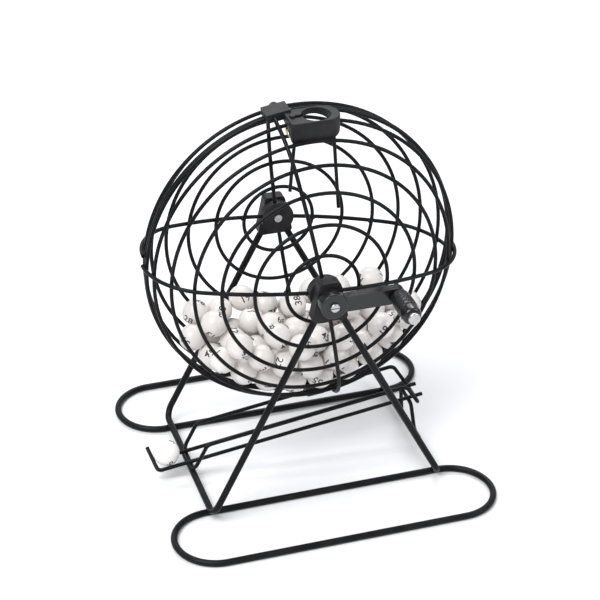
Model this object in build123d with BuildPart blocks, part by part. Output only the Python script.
from build123d import *
from math import asin, atan2, cos, degrees, hypot, radians, sin, sqrt, tan
import os

# Bingo cage: a flattened wire ball turning on a horizontal axle between two
# inverted-V legs, over a sloping wire chute. Millimetres, +Z up, the axle lies
# along Y with the crank on the -Y side. The origin is on the floor, at the
# centre of the base.

# ---- driving dimensions ----
axle_height = 177.5       # axle centre above the floor
axle_diameter = 6.0
running_gap = 0.06        # radial clearance of everything that turns on a pin
side_gap = 0.5            # free space between parts that turn past each other
weld = 0.12               # how far two welded wires sink into each other

cage_radius = 116.0       # centre line of the widest rings
cage_half_depth = 56.0    # centre line of the flattened face, from the middle plane
shoulder_radius = 45.0    # roundness of the cage's rim in section
ring_wire = 2.8
rib_wire = 3.0
rim_ring_offset = 1.6     # the two halves meet here, one ring each
first_shoulder_ring = 18.5  # degrees round the shoulder from the middle plane
shoulder_ring_step = 22.6   # degrees from ring to ring round the shoulder
shoulder_ring_count = 3
inner_ring_radius = 27.0
face_ring_count = 3
corner_ring_gap = 18.54   # from the last face ring to the first ring of the shoulder, radially
upright_rib_lean = 10.5   # the near upper rib leans this far towards -X, to clear the trap
level_rib_lean = 4.5      # the near left rib stands this far above level
half_twist = 3.75         # the far half is joined this much further round
rib_inner_radius = 6.5    # where the ribs end inside the hubs

hub_radius = 12.5
hub_thickness = 6.8
block_thickness = 9.0
block_below = 17.0        # bearing block, below and above the axle
block_above = 14.0
block_foot_width = 28.0
block_head_width = 15.0
block_corner = 3.0

leg_wire = 5.0
leg_spread = 89.0         # half the distance between the floor bars of the legs
leg_top_offset = 5.2      # leg end inside the block, from the axle's middle plane
leg_top_drop = 7.5
leg_splay = 3.0           # the legs stand this much wider at the floor
leg_bend_radius = 9.5

loop_wire = 5.0
loop_inner = 58.0         # inner and outer arm of each foot loop, from the middle
loop_outer = 120.0
loop_reach = 123.0        # centre line of the loop's end, from the middle

rail_wire = 3.0
rail_spacing = 14.7
chute_slope = 7.6         # degrees, falling towards -X
rail_low_end = -115.0
rail_high_end = 97.0
guard_spacing = 31.0
guard_rise = 16.6         # guard wires above the rails
guard_bend_radius = 6.0
guard_drop_length = 11.0  # length over which the guard bends down at its ends
guard_high_end = 92.0
stop_rise = 11.0          # the near rail's end turns up and across as the stop
stop_reach = 4.0
stop_cross = 17.5

ball_diameter = 20.0
ball_count = 70
ball_gap = 0.08           # between neighbouring balls
ball_cage_gap = 0.35      # between the balls and everything that turns

trap_hole = 21.4
trap_hole_x = 7.0
trap_near = 27.6          # the trap block's near and far faces, from the middle plane
trap_far = 3.3
trap_rib_gap = 5.14       # between the block's left end and the upper rib, room for the spring
trap_right = 24.0
trap_proud = 3.0          # top of the block above the widest rings' centre line
trap_wall_depth = 13.0    # height of the block's near wall
tail_half_width = 9.0     # the tail clips the block to the upper rib
tail_half_length = 7.5
shutter_thickness = 1.6
shutter_travel = 8.0
slide_gap = 0.3
guide_wire = 2.6
guide_plane = -12.0
guide_long = 50.0
guide_short = 27.0

clip_lean = 5.0           # the clip sits this many degrees from the lowest point, towards +X
clip_length = 14.0
clip_half_width = 7.5
clip_proud = 3.0

crank_length = 48.0
crank_width = 12.0
crank_thickness = 7.0
crank_boss_radius = 10.0
crank_boss_length = 9.0
grip_diameter = 15.0
grip_length = 30.0
grip_pin_diameter = 5.0
pin_head_diameter = 9.0
pin_head_thickness = 2.5

# ---- derived sizes ----
axle_centre = (0, 0, axle_height)
ball_radius = ball_diameter / 2
rib_offset = ring_wire / 2 + rib_wire / 2 - weld
shoulder_centre = cage_radius - shoulder_radius
face_radius = (
    (shoulder_centre**2 + cage_half_depth**2 - shoulder_radius**2)
    / (2 * (cage_half_depth - shoulder_radius))
)
shoulder_end = degrees(atan2(face_radius - cage_half_depth, shoulder_centre))
floor_bar_height = loop_wire + leg_wire / 2 - weld
hub_start = cage_half_depth + rib_offset - hub_thickness / 2
hub_end = hub_start + hub_thickness
block_start = hub_end + side_gap
block_middle = block_start + block_thickness / 2
block_end = block_start + block_thickness
slope = tan(radians(chute_slope))
cross_height = floor_bar_height + leg_wire / 2 + rail_wire / 2 - weld
rail_height_at_bar = cross_height + rail_wire - weld


def shoulder_point(angle):
    """Radius and axial distance of a point on the cage's shoulder."""
    return (
        shoulder_centre + shoulder_radius * cos(radians(angle)),
        shoulder_radius * sin(radians(angle)),
    )


def face_depth(radius):
    """Axial distance of the cage's flattened face at a radius."""
    return cage_half_depth - face_radius + sqrt(face_radius**2 - radius**2)


def rail_height(x):
    return rail_height_at_bar + (x + leg_spread) * slope


shoulder_rings = [
    shoulder_point(first_shoulder_ring + shoulder_ring_step * i) for i in range(shoulder_ring_count)
]
face_ring_pitch = (
    (shoulder_rings[-1][0] - corner_ring_gap - inner_ring_radius) / (face_ring_count - 1)
)
face_rings = [
    (inner_ring_radius + face_ring_pitch * i, face_depth(inner_ring_radius + face_ring_pitch * i))
    for i in range(face_ring_count)
]
rim_ring = (
    shoulder_centre + sqrt(shoulder_radius**2 - rim_ring_offset**2),
    rim_ring_offset,
)
half_rings = [rim_ring] + shoulder_rings + face_rings
rib_angles = (
    90 + upright_rib_lean,
    180 - level_rib_lean,
    270 + upright_rib_lean,
    360 - level_rib_lean,
)
trap_left = rib_wire / 2 + trap_rib_gap - cage_radius * sin(radians(upright_rib_lean))


# ---- helpers that draw into the part being built ----
def bent_wire(corners, bend_radius, diameter):
    """A round wire along straight runs joined by equal bends."""
    with BuildLine() as path:
        FilletPolyline(*corners, radius=bend_radius)
    with BuildSketch(Plane(origin=path.line @ 0, z_dir=path.line % 0)) as section:
        Circle(diameter / 2)
    sweep(section.sketch, path=path.line)


def straight_wire(start, end, diameter):
    """A straight round wire."""
    start, end = Vector(*start), Vector(*end)
    axis = end - start
    with BuildSketch(Plane(origin=start, z_dir=axis)) as section:
        Circle(diameter / 2)
    extrude(section.sketch, amount=axis.length)


def axial_low(start, end, side):
    """The lower of the two Y values that a piece from start to end reaches on its side."""
    return min(side * start, side * end)


def axial_disc(radius, start, end, side, mode=Mode.ADD, x=0.0, z=0.0):
    """Cylinder along Y between two distances from the middle plane."""
    with Locations(Plane(origin=(x, axial_low(start, end, side), axle_height + z), z_dir=(0, 1, 0))):
        Cylinder(radius, end - start, align=(Align.CENTER, Align.CENTER, Align.MIN), mode=mode)


def rib_path(angle, side):
    """Centre line of one rib, from the hub to the middle plane."""
    radial = Vector(cos(radians(angle)), 0, sin(radians(angle)))
    axial = Vector(0, side, 0)
    plane = Plane(origin=axle_centre, x_dir=radial, z_dir=radial.cross(axial))
    outer_face = face_radius + rib_offset
    outer_shoulder = shoulder_radius + rib_offset
    start = degrees(atan2(sqrt(outer_face**2 - rib_inner_radius**2), rib_inner_radius))
    end = degrees(asin(0.15 / outer_shoulder))
    with BuildLine(plane) as path:
        CenterArc((0, cage_half_depth - face_radius), outer_face, start, shoulder_end - start)
        CenterArc((shoulder_centre, 0), outer_shoulder, shoulder_end, end - shoulder_end)
    return path.line


def rib(angle, side):
    path = rib_path(angle, side)
    with BuildSketch(Plane(origin=path @ 0, z_dir=path % 0)) as section:
        Circle(rib_wire / 2)
    sweep(section.sketch, path=path)


def ring(radius, y, wire):
    with Locations(Plane(origin=(0, y, axle_height), z_dir=(0, 1, 0))):
        Torus(radius, wire / 2)


def finish(part, name):
    part.label = name
    export_step(part, f"parts/{name}.step")


os.makedirs("parts", exist_ok=True)

# ---- stand: legs and feet ----
leg_top_y = block_middle
leg_floor_y = block_middle + leg_splay


def leg(side):
    """One rod: down from the near block, along the floor, up to the far block."""
    top = side * leg_top_offset
    foot = side * leg_spread
    bent_wire(
        [
            (top, -leg_top_y, axle_height - leg_top_drop),
            (foot, -leg_floor_y, floor_bar_height),
            (foot, leg_floor_y, floor_bar_height),
            (top, leg_top_y, axle_height - leg_top_drop),
        ],
        leg_bend_radius,
        leg_wire,
    )


with BuildPart() as left_leg_wire:
    leg(-1)
finish(left_leg_wire.part, "left_leg_wire")

with BuildPart() as right_leg_wire:
    leg(1)
finish(right_leg_wire.part, "right_leg_wire")


def foot_loop(side):
    """A stadium-shaped ring of rod that lies on the floor."""
    end_radius = (loop_outer - loop_inner) / 2
    middle = side * (loop_outer + loop_inner) / 2
    straight = loop_reach - end_radius
    with BuildLine(Plane.XY.offset(loop_wire / 2)) as path:
        Line((-straight, middle - end_radius), (straight, middle - end_radius))
        CenterArc((straight, middle), end_radius, -90, 180)
        Line((straight, middle + end_radius), (-straight, middle + end_radius))
        CenterArc((-straight, middle), end_radius, 90, 180)
    with BuildSketch(Plane(origin=path.line @ 0, z_dir=path.line % 0)) as section:
        Circle(loop_wire / 2)
    sweep(section.sketch, path=path.line)


with BuildPart() as near_foot_loop:
    foot_loop(-1)
finish(near_foot_loop.part, "near_foot_loop")

with BuildPart() as far_foot_loop:
    foot_loop(1)
finish(far_foot_loop.part, "far_foot_loop")


# ---- bearing blocks ----
def bearing_block(side):
    """Plastic block that holds two leg ends below the axle's bore."""
    foot, head = block_foot_width / 2, block_head_width / 2
    with BuildSketch(Plane.XZ.offset(-axial_low(block_start, block_end, side))) as outline:
        with BuildLine() as edge:
            Polyline(
                (-foot, axle_height - block_below),
                (foot, axle_height - block_below),
                (head, axle_height + block_above),
                (-head, axle_height + block_above),
                close=True,
            )
        make_face(edge.edges())
        fillet(outline.vertices(), radius=block_corner)
    extrude(outline.sketch, amount=-block_thickness)
    axial_disc(axle_diameter / 2 + running_gap, block_start - 1, block_end + 1, side, Mode.SUBTRACT)
    add(left_leg_wire.part, mode=Mode.SUBTRACT)
    add(right_leg_wire.part, mode=Mode.SUBTRACT)


with BuildPart() as near_bearing_block:
    bearing_block(-1)
finish(near_bearing_block.part, "near_bearing_block")

with BuildPart() as far_bearing_block:
    bearing_block(1)
finish(far_bearing_block.part, "far_bearing_block")

# ---- chute ----
rail_y = rail_spacing / 2
guard_y = guard_spacing / 2

with BuildPart() as chute_rail_near:
    low = (rail_low_end, -rail_y, rail_height(rail_low_end))
    stop_end = (rail_low_end - stop_reach, stop_cross - rail_y, low[2] + stop_rise)
    bent_wire([(rail_high_end, -rail_y, rail_height(rail_high_end)), low, stop_end], 3.4, rail_wire)
finish(chute_rail_near.part, "chute_rail_near")

with BuildPart() as chute_rail_far:
    straight_wire(
        (rail_high_end, rail_y, rail_height(rail_high_end)),
        (rail_low_end + 2, rail_y, rail_height(rail_low_end + 2)),
        rail_wire,
    )
finish(chute_rail_far.part, "chute_rail_far")


def under_rails(x):
    return rail_height(x) - rail_wire + weld


with BuildPart() as chute_guard:
    low_x, high_x = -leg_spread, guard_high_end
    low_bend, high_bend = low_x + guard_drop_length, high_x - guard_drop_length
    joint = 0.15
    bent_wire(
        [
            (high_x, -joint, under_rails(high_x)),
            (high_x, -guard_y, under_rails(high_x)),
            (high_bend, -guard_y, rail_height(high_bend) + guard_rise),
            (low_bend, -guard_y, rail_height(low_bend) + guard_rise),
            (low_x, -guard_y, cross_height),
            (low_x, guard_y, cross_height),
            (low_bend, guard_y, rail_height(low_bend) + guard_rise),
            (high_bend, guard_y, rail_height(high_bend) + guard_rise),
            (high_x, guard_y, under_rails(high_x)),
            (high_x, joint, under_rails(high_x)),
        ],
        guard_bend_radius,
        rail_wire,
    )
finish(chute_guard.part, "chute_guard")

with BuildPart() as chute_support:
    support_x = leg_spread - 2.5
    support_top = under_rails(support_x)
    support_foot = floor_bar_height + leg_wire / 2 + rail_wire / 2 - weld
    support_y = guard_y - 4
    bent_wire(
        [
            (leg_spread, -support_y - 14, support_foot),
            (leg_spread, -support_y - 3, support_foot),
            (support_x, -support_y, support_top),
            (support_x, support_y, support_top),
            (leg_spread, support_y + 3, support_foot),
            (leg_spread, support_y + 14, support_foot),
        ],
        4.0,
        rail_wire,
    )
finish(chute_support.part, "chute_support")

with BuildPart() as drawn_ball:
    seat = sqrt((ball_radius + rail_wire / 2 + 0.02) ** 2 - rail_y**2)
    ball_x = rail_low_end + 8.6
    with Locations((ball_x, 0, rail_height(ball_x) + seat / cos(radians(chute_slope)))):
        Sphere(ball_radius)
finish(drawn_ball.part, "drawn_ball")

# ---- cage ----
axle_z = axle_height
trap_top = cage_radius + trap_proud
trap_middle_y = -(trap_near + trap_far) / 2


def trap_envelope(inset, mode):
    """Space of the trap block, less the sockets that the cut rings end in."""
    with Locations(((trap_left + trap_right) / 2, trap_middle_y, axle_z + cage_radius - 6)):
        Box(
            trap_right - trap_left - 2 * inset,
            trap_near - trap_far,
            30,
            mode=mode,
        )


def cage_rings(side):
    for radius, y in half_rings:
        ring(radius, side * y, ring_wire)


with BuildPart() as near_cage_rings:
    cage_rings(-1)
    trap_envelope(1.5, Mode.SUBTRACT)
finish(near_cage_rings.part, "near_cage_rings")

with BuildPart() as far_cage_rings:
    cage_rings(1)
finish(far_cage_rings.part, "far_cage_rings")

with BuildPart() as near_cage_ribs:
    for angle in rib_angles:
        rib(angle, -1)
finish(near_cage_ribs.part, "near_cage_ribs")

with BuildPart() as far_cage_ribs:
    for angle in rib_angles:
        rib(angle - half_twist, 1)
finish(far_cage_ribs.part, "far_cage_ribs")


def cage_hub(side):
    """Plastic disc moulded round the inner ends of the ribs."""
    axial_disc(hub_radius, hub_start, hub_end, side)
    axial_disc(axle_diameter / 2, hub_start, hub_end, side, Mode.SUBTRACT)
    ribs = near_cage_ribs if side < 0 else far_cage_ribs
    add(ribs.part, mode=Mode.SUBTRACT)


with BuildPart() as near_hub:
    cage_hub(-1)
finish(near_hub.part, "near_hub")

with BuildPart() as far_hub:
    cage_hub(1)
finish(far_hub.part, "far_hub")

# ---- clip that holds the two halves together at the bottom ----
clip_inner = cage_radius - ring_wire / 2 + 0.2
clip_outer = cage_radius + rib_offset + rib_wire / 2 + clip_proud


def cut_wires():
    """Exact sockets for the cage's wires in the piece in hand."""
    for wires in (near_cage_rings, far_cage_rings, near_cage_ribs, far_cage_ribs):
        add(wires.part, mode=Mode.SUBTRACT)


def rim_block(angle, inner, outer, half_width, half_length):
    """Block across the middle plane at an angle round the rim."""
    radial = Vector(cos(radians(angle)), 0, sin(radians(angle)))
    centre = Vector(*axle_centre) + radial * ((inner + outer) / 2)
    with Locations(Plane(origin=centre, x_dir=radial, z_dir=(0, 1, 0))):
        Box(outer - inner, 2 * half_width, 2 * half_length)


with BuildPart() as bottom_clip:
    rim_block(270 + clip_lean, clip_inner, clip_outer, clip_half_width, clip_length / 2)
    fillet(bottom_clip.edges().filter_by(Axis.Y), radius=1.8)
    cut_wires()
finish(bottom_clip.part, "bottom_clip")

# ---- axle stubs ----
crank_start = block_end + side_gap
crank_end = crank_start + crank_boss_length
cap_thickness = 5.0
screw_radius, screw_depth, screw_head_radius, screw_head = 1.5, 8.0, 3.4, 2.2

with BuildPart() as near_axle:
    axial_disc(axle_diameter / 2, hub_start - 1, crank_end - 0.3, -1)
    axial_disc(screw_radius, crank_end - screw_depth, crank_end, -1, Mode.SUBTRACT)
finish(near_axle.part, "near_axle")

with BuildPart() as far_axle:
    axial_disc(axle_diameter / 2, hub_start - 1, crank_start + cap_thickness - 1.5, 1)
finish(far_axle.part, "far_axle")

with BuildPart() as far_axle_cap:
    axial_disc(axle_diameter / 2 + 3, crank_start, crank_start + cap_thickness, 1)
    fillet(far_axle_cap.edges().group_by(Axis.Y)[-1], radius=1.4)
    add(far_axle.part, mode=Mode.SUBTRACT)
finish(far_axle_cap.part, "far_axle_cap")

# ---- ball trap on the rim ----
trap_end_radius = (trap_near - trap_far) / 2 - 0.5
slot_low = cage_radius - 0.8
slot_height = shutter_thickness + 2 * slide_gap
shutter_left = trap_left + 1.9
shutter_right = trap_hole_x - trap_hole / 2 - 0.4
shutter_half = 8.0
tab_half, tab_length, tab_rise = 2.0, 3.0, 3.2


def trap_box(x_from, x_to, y_from, y_to, z_from, z_to, mode=Mode.ADD):
    """Box between two corners, heights measured from the axle."""
    with Locations(((x_from + x_to) / 2, (y_from + y_to) / 2, axle_z + (z_from + z_to) / 2)):
        Box(x_to - x_from, y_to - y_from, z_to - z_from, mode=mode)


with BuildPart() as trap_spring:
    spring_y = -trap_near + 4.5
    spring_thickness, spring_width, spring_bow = 0.7, 4.0, 1.8
    spring_low, spring_high = cage_radius - 10.5, cage_radius - 0.6
    with BuildSketch(Plane.XZ.offset(-spring_y - spring_width / 2)) as strip:
        with BuildLine() as bow:
            outer = ThreePointArc(
                (trap_left + 1.2, axle_z + spring_low),
                (trap_left - spring_bow, axle_z + (spring_low + spring_high) / 2),
                (trap_left + 1.2, axle_z + spring_high),
            )
            inner = ThreePointArc(
                (trap_left + 1.2, axle_z + spring_low + spring_thickness),
                (
                    trap_left - spring_bow + spring_thickness,
                    axle_z + (spring_low + spring_high) / 2,
                ),
                (trap_left + 1.2, axle_z + spring_high - spring_thickness),
            )
            Line(outer @ 0, inner @ 0)
            Line(outer @ 1, inner @ 1)
        make_face()
    extrude(amount=-spring_width)
finish(trap_spring.part, "trap_spring")


def guide(x, length, lean):
    """Blunt wire that hangs into the cage from the trap block."""
    top = (x, guide_plane, axle_z + cage_radius - 1.5)
    straight_wire(top, (x + lean, guide_plane, axle_z + cage_radius - 6 - length), guide_wire)


with BuildPart() as trap_guide_wires:
    guide(trap_hole_x + trap_hole / 2 + guide_wire, guide_long + 20, 5.0)
    guide(trap_hole_x - trap_hole / 2 - guide_wire, guide_short + 24, -5.0)
finish(trap_guide_wires.part, "trap_guide_wires")


def ball_space():
    """Solid of revolution that just touches the rings from inside."""
    inset = ring_wire / 2 - 0.2
    plane = Plane(origin=axle_centre, x_dir=(1, 0, 0), z_dir=(0, 0, 1))
    sweep_angle = 90 - shoulder_end
    with BuildPart(mode=Mode.PRIVATE) as space:
        with BuildSketch(plane) as half:
            with BuildLine() as outline:
                CenterArc((shoulder_centre, 0), shoulder_radius - inset, -shoulder_end, 2 * shoulder_end)
                upper = CenterArc(
                    (0, cage_half_depth - face_radius), face_radius - inset, shoulder_end, sweep_angle
                )
                lower = CenterArc(
                    (0, face_radius - cage_half_depth), face_radius - inset, -90, sweep_angle
                )
                Line(upper @ 1, lower @ 0)
            make_face()
        revolve(axis=Axis(axle_centre, (0, 1, 0)))
    return space.part


with BuildPart() as trap_housing:
    trap_box(trap_left, trap_right, -trap_near, -trap_far, cage_radius - trap_wall_depth, trap_top)
    fillet(trap_housing.edges().filter_by(Axis.Z).group_by(Axis.X)[-1], radius=trap_end_radius)
    fillet(trap_housing.edges().filter_by(Axis.Z).group_by(Axis.X)[0], radius=2.5)
    fillet(trap_housing.faces().sort_by(Axis.Z)[-1].edges(), radius=0.8)
    rim_block(
        rib_angles[0] - half_twist / 2,
        clip_inner,
        clip_outer - 2.2,
        tail_half_width,
        tail_half_length,
    )
    add(ball_space(), mode=Mode.SUBTRACT)
    with Locations((trap_hole_x, trap_middle_y, axle_z + trap_top)):
        Cylinder(trap_hole / 2, 60, mode=Mode.SUBTRACT)
    slot_half = shutter_half + slide_gap
    trap_box(
        shutter_left - slide_gap,
        trap_hole_x,
        trap_middle_y - slot_half,
        trap_middle_y + slot_half,
        slot_low,
        slot_low + slot_height,
        Mode.SUBTRACT,
    )
    trap_box(
        shutter_left + 0.6 - slide_gap,
        shutter_left + 0.6 + tab_length + shutter_travel + slide_gap,
        trap_middle_y - tab_half - slide_gap,
        trap_middle_y + tab_half + slide_gap,
        slot_low,
        trap_top + 5,
        Mode.SUBTRACT,
    )
    cut_wires()
    add(trap_guide_wires.part, mode=Mode.SUBTRACT)
    add(trap_spring.part, mode=Mode.SUBTRACT)
finish(trap_housing.part, "trap_housing")

with BuildPart() as trap_shutter:
    plate_low = slot_low + slide_gap
    trap_box(
        shutter_left,
        shutter_right,
        trap_middle_y - shutter_half,
        trap_middle_y + shutter_half,
        plate_low,
        plate_low + shutter_thickness,
    )
    trap_box(
        shutter_left + 0.6,
        shutter_left + 0.6 + tab_length,
        trap_middle_y - tab_half,
        trap_middle_y + tab_half,
        plate_low,
        trap_top + tab_rise / 2,
    )
finish(trap_shutter.part, "trap_shutter")

# ---- crank ----
pin_x = crank_length
arm_start = crank_start + (crank_boss_length - crank_thickness) / 2
arm_end = arm_start + crank_thickness
grip_start = arm_end + side_gap
grip_end = grip_start + grip_length

with BuildPart() as crank_arm:
    axial_disc(crank_boss_radius, crank_start, crank_end, -1)
    with BuildSketch(Plane.XZ.offset(arm_start)) as bar:
        with Locations((pin_x / 2, axle_height)):
            SlotCenterToCenter(pin_x, crank_width)
    extrude(amount=crank_thickness)
    fillet(crank_arm.faces().sort_by(Axis.Y)[0].edges(), radius=0.8)
    axial_disc(axle_diameter / 2, crank_start - 1, crank_end - 0.3, -1, Mode.SUBTRACT)
    axial_disc(screw_radius, crank_start, crank_end + 1, -1, Mode.SUBTRACT)
    axial_disc(grip_pin_diameter / 2, arm_start - 1, arm_end + 1, -1, Mode.SUBTRACT, x=pin_x)
finish(crank_arm.part, "crank_arm")

with BuildPart() as crank_screw:
    axial_disc(screw_radius, crank_end - screw_depth + 0.5, crank_end, -1)
    axial_disc(screw_head_radius, crank_end, crank_end + screw_head, -1)
    fillet(crank_screw.edges().group_by(Axis.Y)[0], radius=0.9)
    with Locations((0, -crank_end - screw_head, axle_height)):
        Box(3 * screw_head_radius, 2.0, 0.9, mode=Mode.SUBTRACT)
finish(crank_screw.part, "crank_screw")

with BuildPart() as grip_pin:
    axial_disc(grip_pin_diameter / 2, arm_start, grip_end + side_gap, -1, x=pin_x)
    axial_disc(
        pin_head_diameter / 2, grip_end + side_gap, grip_end + side_gap + pin_head_thickness, -1, x=pin_x
    )
    fillet(grip_pin.edges().group_by(Axis.Y)[0], radius=1.0)
finish(grip_pin.part, "grip_pin")

with BuildPart() as crank_grip:
    axial_disc(grip_diameter / 2, grip_start, grip_end, -1, x=pin_x)
    fillet(crank_grip.edges(), radius=2.4)
    axial_disc(
        grip_pin_diameter / 2 + running_gap, grip_start - 1, grip_end + 1, -1, Mode.SUBTRACT, x=pin_x
    )
finish(crank_grip.part, "crank_grip")

# ---- balls in the cage ----
# Each ball settles in the lowest free place between the rings and the balls
# already there, clear of the circle that the guide wires sweep.
ball_inset = ring_wire / 2 + ball_radius + ball_cage_gap
guide_reach = guide_wire / 2 + ball_radius + ball_cage_gap
ball_pitch = ball_diameter + ball_gap


def ball_limit(y):
    """Largest distance from the axle of a ball's centre at y, or 0 for none."""
    flank = (shoulder_radius - ball_inset) * sin(radians(shoulder_end))
    if abs(y - guide_plane) < guide_reach:
        return 0
    if abs(y) < flank:
        return shoulder_centre + sqrt((shoulder_radius - ball_inset) ** 2 - y**2)
    rise = (face_radius - ball_inset) ** 2 - (abs(y) + face_radius - cage_half_depth) ** 2
    return sqrt(rise) if rise > 0 else 0


def pile_of_balls():
    heights = {}
    for y_step in range(-44, 45):
        limit = ball_limit(float(y_step))
        for x in range(-int(limit), int(limit) + 1):
            heights[(x, y_step)] = -sqrt(limit**2 - x**2)
    centres = []
    while len(centres) < ball_count:
        x, y = min(heights, key=lambda place: heights[place] + 0.9 * sin(12.9 * place[0] + 78.2 * place[1]))
        z = heights[(x, y)]
        centres.append((x, y, axle_height + z))
        for place in heights:
            apart = hypot(place[0] - x, place[1] - y)
            if apart < ball_pitch:
                heights[place] = max(heights[place], z + sqrt(ball_pitch**2 - apart**2))
    return centres


with BuildPart() as balls:
    with Locations(*pile_of_balls()):
        Sphere(ball_radius)
finish(balls.part, "balls")
